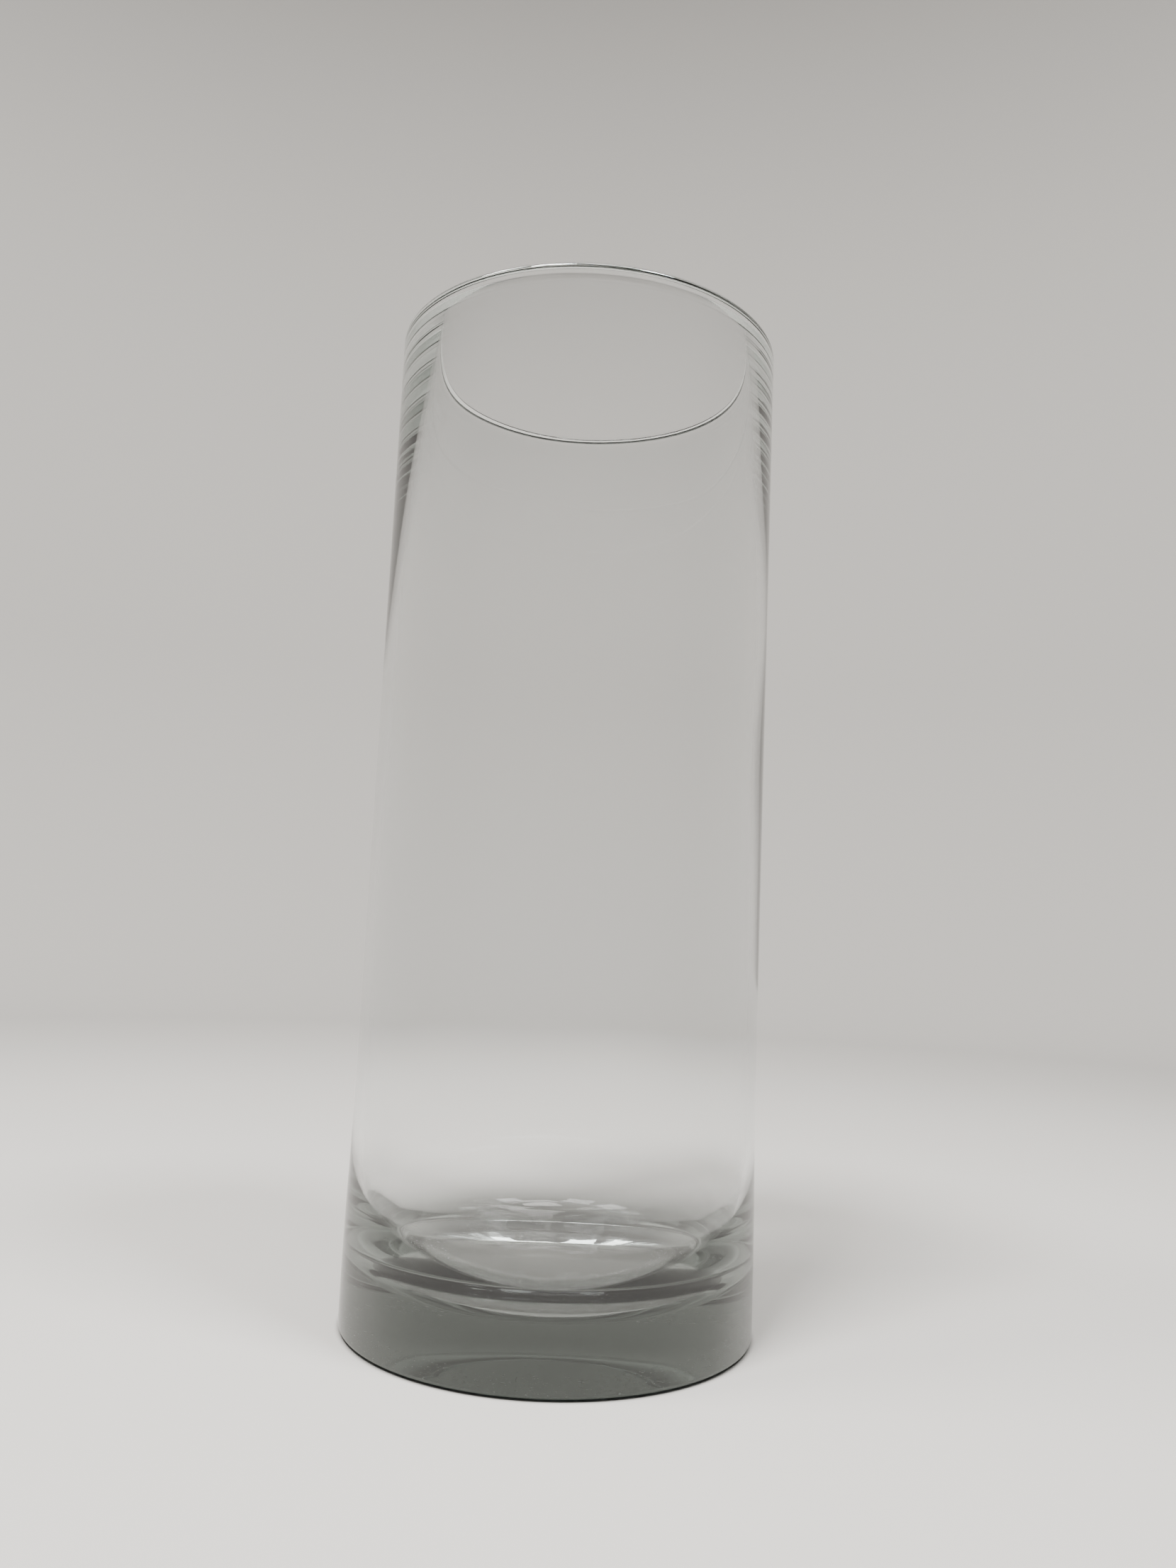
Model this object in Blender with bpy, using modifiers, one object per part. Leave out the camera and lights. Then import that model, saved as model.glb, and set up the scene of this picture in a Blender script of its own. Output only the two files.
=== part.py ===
"""Clear glass cylinder vase, 100 mm across and 250 mm tall, turned in one piece.

Units are metres and +Z is up. The origin is the centre of the base, in the plane
that the vase stands on. The whole vase is one outline, turned once round Z: it
starts at the middle of the inner floor, climbs the inner side, crosses the rim,
runs down the outer side and ends at the middle of the underside.
"""

import math

import bpy

OBJECT_NAME = "glass_cylinder_vase"
NODE_NAME = "glass_vase"

# Outside
HEIGHT = 0.250
BODY_RADIUS = 0.050
FOOT_RADIUS = 0.0505        # the lower body swells a little where the thick base was pressed
FOOT_STRAIGHT_TOP = 0.014   # the foot is straight up to here
FOOT_SWELL_TOP = 0.060      # and blends into the body by here
HEEL_ROUND = 0.0012         # rounding between the side and the underside

# Wall and rim
WALL = 0.0026
LIP_WALL = 0.0059           # the wall thickens inwards towards the rim
LIP_TAPER = 0.080           # height over which it does
RIM_ROUND = 0.0012          # fire-polished rounding on each side of the rim

# Inside of the base: stations of the dished floor as radius, height and slope in degrees,
# where 0 is level and 90 is straight up. A smooth curve joins them.
DISH_STATIONS = (
    (0.0100, 0.0082, 0.0),
    (0.0250, 0.0099, 10.0),
    (0.0375, 0.0146, 29.0),
    (0.0423, 0.0192, 57.5),
    (0.0468, 0.0310, 82.5),
    (BODY_RADIUS - WALL, 0.0480, 90.0),
)

# Underside
PUNT_RADIUS = 0.0400        # the shallow hollow inside the ring that the vase stands on
PUNT_DEPTH = 0.0008

# Facets
TURN_STEPS = 72
ROUND_STEPS = 3
HEEL_STEPS = 3
SWELL_STEPS = 5
PUNT_STEPS = 4
LIP_STEPS = 7
DISH_STEPS = 4
SHARP_ANGLE = math.radians(35)
MERGE_DISTANCE = 0.00005

# Finish
GLASS_COLOUR = (0.90, 0.93, 0.92, 1.0)
GLASS_ROUGHNESS = 0.02
GLASS_IOR = 1.52


def quarter_round(centre_radius, centre_height, size, start_degrees, steps):
    """Points of a quarter circle, turning clockwise from the start angle, both ends included."""
    points = []
    for step in range(steps + 1):
        angle = math.radians(start_degrees - 90 * step / steps)
        points.append((centre_radius + size * math.cos(angle), centre_height + size * math.sin(angle)))
    return points


def curve_between(start, end):
    """Points of the smooth curve that leaves one station and reaches the next at their slopes."""
    reach = math.hypot(end[0] - start[0], end[1] - start[1])
    points = []
    for step in range(1, DISH_STEPS + 1):
        t = step / DISH_STEPS
        weights = (2 * t**3 - 3 * t**2 + 1, t**3 - 2 * t**2 + t, 3 * t**2 - 2 * t**3, t**3 - t**2)
        point = []
        for index, direction in ((0, math.cos), (1, math.sin)):
            leaving = reach * direction(math.radians(start[2]))
            arriving = reach * direction(math.radians(end[2]))
            terms = (start[index], leaving, end[index], arriving)
            point.append(sum(weight * term for weight, term in zip(weights, terms)))
        points.append(tuple(point))
    return points


def dished_floor():
    """Flat middle of the inner floor, then the dish that sweeps up into the wall."""
    points = [(0.0, DISH_STATIONS[0][1]), DISH_STATIONS[0][:2]]
    for start, end in zip(DISH_STATIONS, DISH_STATIONS[1:]):
        points += curve_between(start, end)
    return points


def lip_taper():
    """Inner side of the upper wall, which thickens more and more quickly towards the rim."""
    top = HEIGHT - RIM_ROUND
    bottom = HEIGHT - LIP_TAPER
    points = []
    for step in range(LIP_STEPS):
        height = bottom + (top - bottom) * step / LIP_STEPS
        along = (height - bottom) / LIP_TAPER
        points.append((BODY_RADIUS - WALL - (LIP_WALL - WALL) * along**2, height))
    return points


def rim():
    """Rounded inner edge, flat top and rounded outer edge of the rim."""
    inner_centre = BODY_RADIUS - LIP_WALL + RIM_ROUND
    outer_centre = BODY_RADIUS - RIM_ROUND
    centre_height = HEIGHT - RIM_ROUND
    inner_edge = quarter_round(inner_centre, centre_height, RIM_ROUND, 180, ROUND_STEPS)
    outer_edge = quarter_round(outer_centre, centre_height, RIM_ROUND, 90, ROUND_STEPS)
    return inner_edge + outer_edge


def foot_swell():
    """Smooth step from the body's radius out to the foot's radius, going down."""
    drop = FOOT_SWELL_TOP - FOOT_STRAIGHT_TOP
    points = []
    for step in range(SWELL_STEPS + 1):
        along = step / SWELL_STEPS
        eased = along * along * (3 - 2 * along)
        radius = BODY_RADIUS + (FOOT_RADIUS - BODY_RADIUS) * eased
        points.append((radius, FOOT_SWELL_TOP - drop * along))
    return points


def heel():
    """Rounding from the foot's side to the flat ring that the vase stands on."""
    return quarter_round(FOOT_RADIUS - HEEL_ROUND, HEEL_ROUND, HEEL_ROUND, 0, HEEL_STEPS)


def punt():
    """Shallow hollow of the underside, from the standing ring in to the axis."""
    points = []
    for step in range(PUNT_STEPS + 1):
        radius = PUNT_RADIUS * (1 - step / PUNT_STEPS)
        rise = 0.5 * (1 + math.cos(math.pi * radius / PUNT_RADIUS))
        points.append((radius, PUNT_DEPTH * rise))
    return points


def vase_outline():
    """The whole outline as (radius, height) points, from the inner floor to the underside."""
    return dished_floor() + lip_taper() + rim() + foot_swell() + heel() + punt()


def turned_object(name, outline, collection):
    """Object whose outline, drawn at +X, is turned once round Z by a Screw modifier."""
    mesh = bpy.data.meshes.new(name)
    vertices = [(radius, 0.0, height) for radius, height in outline]
    edges = [(index, index + 1) for index in range(len(outline) - 1)]
    mesh.from_pydata(vertices, edges, [])
    turned = bpy.data.objects.new(name, mesh)
    collection.objects.link(turned)
    screw = turned.modifiers.new("Turn", "SCREW")
    screw.axis = "Z"
    screw.angle = 2 * math.pi
    screw.steps = TURN_STEPS
    screw.render_steps = TURN_STEPS
    screw.use_merge_vertices = True
    screw.merge_threshold = MERGE_DISTANCE
    screw.use_smooth_shade = True
    return turned


def applied(turned):
    """Turn the modifier's result into the object's own mesh, shaded smooth except at sharp edges."""
    depsgraph = bpy.context.evaluated_depsgraph_get()
    mesh = bpy.data.meshes.new_from_object(turned.evaluated_get(depsgraph))
    outline_mesh = turned.data
    turned.modifiers.clear()
    turned.data = mesh
    bpy.data.meshes.remove(outline_mesh)
    mesh.name = turned.name
    mesh.shade_smooth()
    mesh.set_sharp_from_angle(angle=SHARP_ANGLE)
    return turned


def clear_glass():
    """Clear, faintly grey-green soda-lime glass."""
    material = bpy.data.materials.new("clear_glass")
    material.use_nodes = True
    material.diffuse_color = GLASS_COLOUR
    shader = material.node_tree.nodes["Principled BSDF"]
    shader.inputs["Base Color"].default_value = GLASS_COLOUR
    shader.inputs["Roughness"].default_value = GLASS_ROUGHNESS
    shader.inputs["Metallic"].default_value = 0.0
    shader.inputs["IOR"].default_value = GLASS_IOR
    shader.inputs["Transmission Weight"].default_value = 1.0
    return material


def main():
    for existing in list(bpy.data.objects):
        bpy.data.objects.remove(existing, do_unlink=True)
    parts = bpy.data.collections.new(OBJECT_NAME)
    bpy.context.scene.collection.children.link(parts)
    vase = applied(turned_object(NODE_NAME, vase_outline(), parts))
    vase.data.materials.append(clear_glass())


main()
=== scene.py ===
"""Looks of the clear glass cylinder vase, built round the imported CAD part.

The vase is one finely turned glass mesh that stands for the CAD node. It follows the
same outline, with the small unevenness of blown glass and a worn standing ring. The
stage is a pale round studio: a floor that curves up into a wall, and soft lights.
Units are metres and +Z is up.
"""

import math

import bpy
from mathutils import Matrix, Vector


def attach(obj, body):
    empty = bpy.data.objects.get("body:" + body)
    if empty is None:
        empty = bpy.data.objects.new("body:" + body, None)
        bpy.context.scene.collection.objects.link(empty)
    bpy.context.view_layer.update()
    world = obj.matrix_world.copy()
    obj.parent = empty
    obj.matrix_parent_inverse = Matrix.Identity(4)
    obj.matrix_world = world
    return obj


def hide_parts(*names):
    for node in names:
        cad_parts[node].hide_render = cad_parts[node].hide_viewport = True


# Outline of the vase
HEIGHT = 0.250
BODY_RADIUS = 0.050
FOOT_RADIUS = 0.0505
FOOT_STRAIGHT_TOP = 0.014
FOOT_SWELL_TOP = 0.060
HEEL_ROUND = 0.0012
WALL = 0.0026
LIP_WALL = 0.0059
LIP_TAPER = 0.080
RIM_ROUND = 0.0012
FLOOR_RADII = (0.0, 0.003, 0.006, 0.0085, 0.0100)  # rings of the flat middle of the floor
DISH_STATIONS = (  # radius, height and slope in degrees, joined by a smooth curve
    (0.0100, 0.0082, 0.0),
    (0.0250, 0.0099, 10.0),
    (0.0375, 0.0146, 29.0),
    (0.0423, 0.0192, 57.5),
    (0.0468, 0.0310, 82.5),
    (BODY_RADIUS - WALL, 0.0480, 90.0),
)
PUNT_RADIUS = 0.0400
PUNT_DEPTH = 0.0008

# Unevenness of the blown wall
INNER_WAVE = 0.00009
OUTER_WAVE = 0.00002
LIP_SHIFT = 0.0006

# Steps of the vase's mesh
AROUND = 320
DISH_STEPS = 12
INNER_WALL_STEPS = 30
LIP_STEPS = 32
RIM_STEPS = 10
RIM_TOP_STEPS = 6
OUTER_WALL_STEPS = 60
SWELL_STEPS = 16
FOOT_STEPS = 8
HEEL_STEPS = 10
STANDING_RING_STEPS = 8
PUNT_STEPS = 24

# Glass. A pair of radii or heights is where an effect starts and where it is full.
GLASS_IOR = 1.52
DEPTH_COLOUR = (0.60, 0.635, 0.615, 1.0)
DEPTH_DENSITY = 38.0
NO_TINT = (1.0, 1.0, 1.0, 1.0)
# Painted shade: a darker base colour on the outside of the foot darkens the thick base beyond its grey
# in depth.
FOOT_PAINTED_SHADE = (0.31, 0.33, 0.32, 1.0)
FOOT_SHADE_RADII = (0.0480, 0.0495)
FOOT_SHADE_HEIGHTS = (0.026, 0.012)
SMUDGE_SCALE = 38.0
SMUDGE_ROUGHNESS = 0.035
SCUFF_SCALE = 900.0
SCUFF_ROUGHNESS = 0.30
SCUFF_HEIGHTS = (0.0003, 0.0001)

# Camera, as distances from the middle of the base
CAMERA_PLACE = (0.00242, -0.30555, 0.09565)
CAMERA_PITCH = -0.1253
CAMERA_YAW = -0.0074
CAMERA_ROLL = 0.0446
FOCAL_LENGTH = 27.03  # in millimetres, as is the sensor's width
SENSOR_WIDTH = 36.0

# Stage
FLOOR_DROP = 0.0003
STAGE_RADIUS = 1.35
STAGE_CORNER = 0.45
STAGE_HEIGHT = 1.6
STAGE_FLOOR_RADII = (0.05, 0.2, 0.5)
STAGE_CORNER_STEPS = 16
STAGE_AROUND = 96
PAPER = (0.37, 0.355, 0.335, 1.0)
DARKER_PAPER = (0.17, 0.167, 0.162, 1.0)  # behind the main camera and at the sides
DARKER_Y = (0.95, -0.20)
DARKER_DISTANCE = (0.40, 1.00)
CONTACT_SHADOW = (0.015, 0.015, 0.015, 1.0)
CONTACT_INNER_EDGE = (0.0375, 0.0405)
CONTACT_OUTER_EDGE = (0.0515, 0.0490)

# Light
WORLD_COLOUR = (1.0, 0.985, 0.96, 1.0)
WORLD_STRENGTH = 0.22
LIGHT_TARGET = (0.0, 0.0, 0.09)
ALL_BOUNCES = 24
GLOSSY_BOUNCES = 16


def quarter_round(centre_radius, centre_height, size, start_degrees, steps):
    """Points of a quarter circle, turning clockwise from the start angle, both ends included."""
    points = []
    for step in range(steps + 1):
        angle = math.radians(start_degrees - 90 * step / steps)
        radius = centre_radius + size * math.cos(angle)
        points.append((radius, centre_height + size * math.sin(angle)))
    return points


def curve_between(start, end, steps):
    """Points of the smooth curve that leaves one station and reaches the next at their slopes."""
    reach = math.hypot(end[0] - start[0], end[1] - start[1])
    points = []
    for step in range(1, steps + 1):
        t = step / steps
        weights = (2 * t**3 - 3 * t**2 + 1, t**3 - 2 * t**2 + t, 3 * t**2 - 2 * t**3, t**3 - t**2)
        point = []
        for index, direction in ((0, math.cos), (1, math.sin)):
            leaving = reach * direction(math.radians(start[2]))
            arriving = reach * direction(math.radians(end[2]))
            terms = (start[index], leaving, end[index], arriving)
            point.append(sum(weight * term for weight, term in zip(weights, terms)))
        points.append(tuple(point))
    return points


def between(first, last, steps):
    """Evenly spaced numbers after the first, up to and including the last."""
    return [first + (last - first) * step / steps for step in range(1, steps + 1)]


def inner_outline():
    """Inner side from the middle of the floor up to the rim."""
    points = [(radius, DISH_STATIONS[0][1]) for radius in FLOOR_RADII]
    for start, end in zip(DISH_STATIONS, DISH_STATIONS[1:]):
        points += curve_between(start, end, DISH_STEPS)
    lip_start = HEIGHT - LIP_TAPER
    for height in between(DISH_STATIONS[-1][1], lip_start, INNER_WALL_STEPS):
        points.append((BODY_RADIUS - WALL, height))
    for height in between(lip_start, HEIGHT - RIM_ROUND, LIP_STEPS):
        along = (height - lip_start) / LIP_TAPER
        points.append((BODY_RADIUS - WALL - (LIP_WALL - WALL) * along**2, height))
    return points


def outer_outline():
    """Rim, outer side and underside, ending on the axis. It starts where the inner outline ends."""
    inner_centre = BODY_RADIUS - LIP_WALL + RIM_ROUND
    outer_centre = BODY_RADIUS - RIM_ROUND
    centre_height = HEIGHT - RIM_ROUND
    points = quarter_round(inner_centre, centre_height, RIM_ROUND, 180, RIM_STEPS)
    points += [(radius, HEIGHT) for radius in between(inner_centre, outer_centre, RIM_TOP_STEPS)[:-1]]
    points += quarter_round(outer_centre, centre_height, RIM_ROUND, 90, RIM_STEPS)
    for height in between(centre_height, FOOT_SWELL_TOP, OUTER_WALL_STEPS):
        points.append((BODY_RADIUS, height))
    for along in between(0.0, 1.0, SWELL_STEPS):
        eased = along * along * (3 - 2 * along)
        height = FOOT_SWELL_TOP - (FOOT_SWELL_TOP - FOOT_STRAIGHT_TOP) * along
        points.append((BODY_RADIUS + (FOOT_RADIUS - BODY_RADIUS) * eased, height))
    for height in between(FOOT_STRAIGHT_TOP, HEEL_ROUND, FOOT_STEPS)[:-1]:
        points.append((FOOT_RADIUS, height))
    points += quarter_round(FOOT_RADIUS - HEEL_ROUND, HEEL_ROUND, HEEL_ROUND, 0, HEEL_STEPS)
    for radius in between(FOOT_RADIUS - HEEL_ROUND, PUNT_RADIUS, STANDING_RING_STEPS):
        points.append((radius, 0.0))
    for radius in between(PUNT_RADIUS, 0.0, PUNT_STEPS):
        points.append((radius, PUNT_DEPTH * 0.5 * (1 + math.cos(math.pi * radius / PUNT_RADIUS))))
    return points


def share_along(value, start, length):
    """How far a value is along a length from its start, kept between 0 and 1."""
    return min(1.0, max(0.0, (value - start) / length))


def inner_wave(angle, height):
    """How far the inner wall stands off a true cylinder, fading out at the floor."""
    fade = share_along(height, 0.020, 0.030)
    slow = math.sin(2 * angle + 21 * height + 0.6) + 0.6 * math.sin(3 * angle - 34 * height + 2.1)
    quick = 0.35 * math.sin(5 * angle + 58 * height + 4.0) + 0.25 * math.sin(7 * angle - 90 * height)
    return INNER_WAVE * fade * (slow + quick)


def outer_wave(angle, height):
    """The same for the outer wall, which only ever stands inside a true cylinder."""
    fade = share_along(height, 0.030, 0.030) * share_along(HEIGHT - height, 0.0, 0.010)
    wave = math.sin(3 * angle + 27 * height + 1.3) + 0.5 * math.sin(4 * angle - 49 * height)
    return OUTER_WAVE * fade * (wave - 1.5)


def lip_shift(height):
    """Sideways offset of the inner side, which leaves the lip thicker at -X than at +X."""
    return LIP_SHIFT * share_along(height, HEIGHT - LIP_TAPER, LIP_TAPER) ** 2


def ring_points(radius, height, inside):
    """One ring of the vase's mesh."""
    points = []
    for step in range(AROUND):
        angle = 2 * math.pi * step / AROUND
        if inside:
            reach = radius + inner_wave(angle, height)
            shift = lip_shift(height)
        else:
            reach = radius + outer_wave(angle, height)
            shift = 0.0
        points.append((reach * math.cos(angle) + shift, reach * math.sin(angle), height))
    return points


def plain_ring(radius, height, count):
    """One level ring of evenly spaced points."""
    angles = [2 * math.pi * step / count for step in range(count)]
    return [(radius * math.cos(angle), radius * math.sin(angle), height) for angle in angles]


def joined_rings(rings):
    """Vertices and faces of rings joined in order; a ring of one point closes an end."""
    count = max(len(ring) for ring in rings)
    vertices = []
    starts = []
    for ring in rings:
        starts.append(len(vertices))
        vertices += ring
    faces = []
    for lower in range(len(rings) - 1):
        upper = lower + 1
        first, second = starts[lower], starts[upper]
        for step in range(count):
            after = (step + 1) % count
            if len(rings[lower]) == 1:
                faces.append((first, second + step, second + after))
            elif len(rings[upper]) == 1:
                faces.append((first + after, first + step, second))
            else:
                faces.append((first + after, first + step, second + step, second + after))
    return vertices, faces


def vase_mesh():
    """Closed glass body: inner side, rim, outer side and underside in one skin."""
    inner = inner_outline()
    outer = outer_outline()
    inner_count = len(inner) + RIM_STEPS
    rings = []
    for index, (radius, height) in enumerate(inner + outer[1:]):
        if radius < 1e-7:
            rings.append([(0.0, 0.0, height)])
        else:
            rings.append(ring_points(radius, height, index < inner_count))
    vertices, faces = joined_rings(rings)
    mesh = bpy.data.meshes.new("vase_clear_glass")
    mesh.from_pydata(vertices, [], faces)
    mesh.update()
    mesh.shade_smooth()
    return mesh


def smooth_step(tree, source, bounds, full=1.0):
    """Socket that rises smoothly from 0 at the first bound to its full value at the second.

    Where the first bound is the larger, it rises as the source falls.
    """
    made = tree.nodes.new("ShaderNodeMapRange")
    made.interpolation_type = "SMOOTHSTEP"
    start, end = bounds
    made.inputs["From Min"].default_value = min(bounds)
    made.inputs["From Max"].default_value = max(bounds)
    made.inputs["To Min"].default_value = 0.0 if start < end else full
    made.inputs["To Max"].default_value = full if start < end else 0.0
    tree.links.new(source, made.inputs["Value"])
    return made.outputs["Result"]


def combined(tree, operation, first, second):
    """Math node of two sockets; returns the result socket."""
    made = tree.nodes.new("ShaderNodeMath")
    made.operation = operation
    tree.links.new(first, made.inputs[0])
    tree.links.new(second, made.inputs[1])
    return made.outputs[0]


def noise(tree, place, scale, detail, roughness):
    """Noise at a position socket; returns its value socket."""
    made = tree.nodes.new("ShaderNodeTexNoise")
    made.inputs["Scale"].default_value = scale
    made.inputs["Detail"].default_value = detail
    made.inputs["Roughness"].default_value = roughness
    tree.links.new(place, made.inputs["Vector"])
    return made.outputs["Fac"]


def coordinates(tree, place):
    """X, Y and Z sockets of a position socket."""
    made = tree.nodes.new("ShaderNodeSeparateXYZ")
    tree.links.new(place, made.inputs[0])
    return made.outputs["X"], made.outputs["Y"], made.outputs["Z"]


def weighted_length(tree, place, weights):
    """Length of a position socket after each of its coordinates is multiplied by a weight."""
    scaled = tree.nodes.new("ShaderNodeVectorMath")
    scaled.operation = "MULTIPLY"
    scaled.inputs[1].default_value = weights
    tree.links.new(place, scaled.inputs[0])
    length = tree.nodes.new("ShaderNodeVectorMath")
    length.operation = "LENGTH"
    tree.links.new(scaled.outputs[0], length.inputs[0])
    return length.outputs["Value"]


def colour_mix(tree, share, first, second):
    """Colour that turns from the first to the second as the share socket goes from 0 to 1."""
    made = tree.nodes.new("ShaderNodeMix")
    made.data_type = "RGBA"
    tree.links.new(share, made.inputs[0])
    for index, colour in ((6, first), (7, second)):
        if isinstance(colour, tuple):
            made.inputs[index].default_value = colour
        else:
            tree.links.new(colour, made.inputs[index])
    return made.outputs[2]


def glass_material():
    """Clear glass, grey in depth, with painted shade on the outside of the foot, faint smudges and a
    scuffed standing ring.
    """
    material = bpy.data.materials.new("vase_clear_glass")
    material.use_nodes = True
    tree = material.node_tree
    shader = tree.nodes["Principled BSDF"]
    shader.inputs["Metallic"].default_value = 0.0
    shader.inputs["IOR"].default_value = GLASS_IOR
    shader.inputs["Transmission Weight"].default_value = 1.0
    depth = tree.nodes.new("ShaderNodeVolumeAbsorption")
    depth.inputs["Color"].default_value = DEPTH_COLOUR
    depth.inputs["Density"].default_value = DEPTH_DENSITY
    tree.links.new(depth.outputs["Volume"], tree.nodes["Material Output"].inputs["Volume"])

    place = tree.nodes.new("ShaderNodeTexCoord").outputs["Object"]
    height = coordinates(tree, place)[2]
    radius = weighted_length(tree, place, (1.0, 1.0, 0.0))
    # Painted shade: a darker base colour on the outer surface of the foot, full at its outer radius and
    # low down.
    side = smooth_step(tree, radius, FOOT_SHADE_RADII)
    foot = smooth_step(tree, height, FOOT_SHADE_HEIGHTS)
    outside = combined(tree, "MULTIPLY", side, foot)
    tree.links.new(colour_mix(tree, outside, NO_TINT, FOOT_PAINTED_SHADE), shader.inputs["Base Color"])

    smudges = noise(tree, place, SMUDGE_SCALE, 6.0, 0.62)
    haze = smooth_step(tree, smudges, (0.52, 0.80), SMUDGE_ROUGHNESS)
    standing = smooth_step(tree, height, SCUFF_HEIGHTS)
    wear = smooth_step(tree, noise(tree, place, SCUFF_SCALE, 4.0, 0.7), (0.52, 0.66), SCUFF_ROUGHNESS)
    scuffs = combined(tree, "MULTIPLY", standing, wear)
    tree.links.new(combined(tree, "MAXIMUM", haze, scuffs), shader.inputs["Roughness"])
    return material


def clear_vase():
    """The visible vase, which stands for the CAD node."""
    vase = bpy.data.objects.new("vase_clear_glass", vase_mesh())
    bpy.context.scene.collection.objects.link(vase)
    vase.data.materials.append(glass_material())
    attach(vase, "root")
    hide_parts("glass_vase")


def stage_material():
    """Matt pale paper, darker round the main camera and in the contact shadow of the foot."""
    material = bpy.data.materials.new("studio_paper")
    material.use_nodes = True
    tree = material.node_tree
    shader = tree.nodes["Principled BSDF"]
    shader.inputs["Roughness"].default_value = 0.95
    shader.inputs["Specular IOR Level"].default_value = 0.1
    place = tree.nodes.new("ShaderNodeNewGeometry").outputs["Position"]
    reach = weighted_length(tree, place, (1.0, 1.0, 1.0))
    facing = smooth_step(tree, coordinates(tree, place)[1], DARKER_Y)
    front = combined(tree, "MULTIPLY", facing, smooth_step(tree, reach, DARKER_DISTANCE))
    paper = colour_mix(tree, front, PAPER, DARKER_PAPER)
    inner_edge = smooth_step(tree, reach, CONTACT_INNER_EDGE)
    outer_edge = smooth_step(tree, reach, CONTACT_OUTER_EDGE)
    contact = combined(tree, "MULTIPLY", inner_edge, outer_edge)
    tree.links.new(colour_mix(tree, contact, paper, CONTACT_SHADOW), shader.inputs["Base Color"])
    return material


def round_stage():
    """Floor that curves up into a round wall, far outside every camera."""
    outline = [(radius, 0.0) for radius in STAGE_FLOOR_RADII + (STAGE_RADIUS - STAGE_CORNER,)]
    for step in range(1, STAGE_CORNER_STEPS + 1):
        angle = math.radians(90 * step / STAGE_CORNER_STEPS)
        reach = STAGE_RADIUS - STAGE_CORNER * (1 - math.sin(angle))
        outline.append((reach, STAGE_CORNER * (1 - math.cos(angle))))
    outline.append((STAGE_RADIUS, STAGE_HEIGHT))
    rings = [[(0.0, 0.0, -FLOOR_DROP)]]
    for radius, height in outline:
        rings.append(plain_ring(radius, height - FLOOR_DROP, STAGE_AROUND))
    vertices, faces = joined_rings(rings)
    mesh = bpy.data.meshes.new("studio_floor")
    mesh.from_pydata(vertices, [], faces)
    mesh.update()
    mesh.shade_smooth()
    mesh.materials.append(stage_material())
    stage = bpy.data.objects.new("studio_floor", mesh)
    bpy.context.scene.collection.objects.link(stage)


def soft_light(name, turn, rise, reach, size, power, colour):
    """Square area light at a turn (degrees, + is to the camera's right) and rise, aimed at the vase."""
    lamp = bpy.data.lights.new(name, "AREA")
    lamp.shape = "SQUARE"
    lamp.size = size
    lamp.energy = power
    lamp.color = colour
    light = bpy.data.objects.new(name, lamp)
    bpy.context.scene.collection.objects.link(light)
    aside, up = math.radians(turn), math.radians(rise)
    away = Vector((math.sin(aside) * math.cos(up), -math.cos(aside) * math.cos(up), math.sin(up)))
    light.location = Vector(LIGHT_TARGET) + away * reach
    light.rotation_euler = away.to_track_quat("Z", "Y").to_euler()


def lighting():
    """Dim even world, and four soft lights above the vase's front and sides."""
    world = bpy.data.worlds.new("studio_world")
    world.use_nodes = True
    background = world.node_tree.nodes["Background"]
    background.inputs["Color"].default_value = WORLD_COLOUR
    background.inputs["Strength"].default_value = WORLD_STRENGTH
    bpy.context.scene.world = world
    soft_light("light_top", 20, 74, 1.7, 0.50, 10, (1.0, 0.98, 0.95))
    soft_light("light_left", -32, 62, 1.4, 0.38, 56, (1.0, 1.0, 1.0))
    soft_light("light_far_left", -75, 60, 1.4, 0.32, 16, (1.0, 0.99, 0.97))
    soft_light("light_right", 50, 62, 1.4, 0.30, 28, (0.98, 0.99, 1.0))


def light_paths():
    """Enough bounces for light that is reflected many times inside the lip and the foot."""
    cycles = bpy.context.scene.cycles
    cycles.max_bounces = ALL_BOUNCES
    cycles.glossy_bounces = GLOSSY_BOUNCES
    cycles.transmission_bounces = ALL_BOUNCES


def camera_axes(pitch, yaw, roll):
    """The camera's right, down and forward axes, as the rows of a matrix."""
    pitching = Matrix.Rotation(pitch, 3, "X")
    yawing = Matrix.Rotation(yaw, 3, "Y")
    rolling = Matrix.Rotation(roll, 3, "Z")
    return rolling @ yawing @ pitching @ Matrix(((1, 0, 0), (0, 0, -1), (0, 1, 0)))


def main_camera():
    """Camera low in front of the vase, tilted up a little and rolled slightly."""
    data = bpy.data.cameras.new("main_camera")
    data.lens = FOCAL_LENGTH
    data.sensor_width = SENSOR_WIDTH
    data.sensor_fit = "AUTO"
    data.clip_start = 0.01
    camera = bpy.data.objects.new("main_camera", data)
    bpy.context.scene.collection.objects.link(camera)
    right, down, forward = camera_axes(CAMERA_PITCH, CAMERA_YAW, CAMERA_ROLL)
    axes = Matrix((right, -down, -forward)).transposed()
    camera.matrix_world = Matrix.Translation(CAMERA_PLACE) @ axes.to_4x4()
    bpy.context.scene.camera = camera


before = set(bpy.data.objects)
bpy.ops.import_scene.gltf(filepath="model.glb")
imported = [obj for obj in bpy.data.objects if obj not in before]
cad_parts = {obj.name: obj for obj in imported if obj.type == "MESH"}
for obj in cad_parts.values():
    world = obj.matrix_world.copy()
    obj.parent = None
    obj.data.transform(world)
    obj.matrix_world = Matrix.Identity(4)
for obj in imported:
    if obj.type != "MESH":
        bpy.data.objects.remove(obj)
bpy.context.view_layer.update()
clear_vase()
round_stage()
lighting()
light_paths()
main_camera()
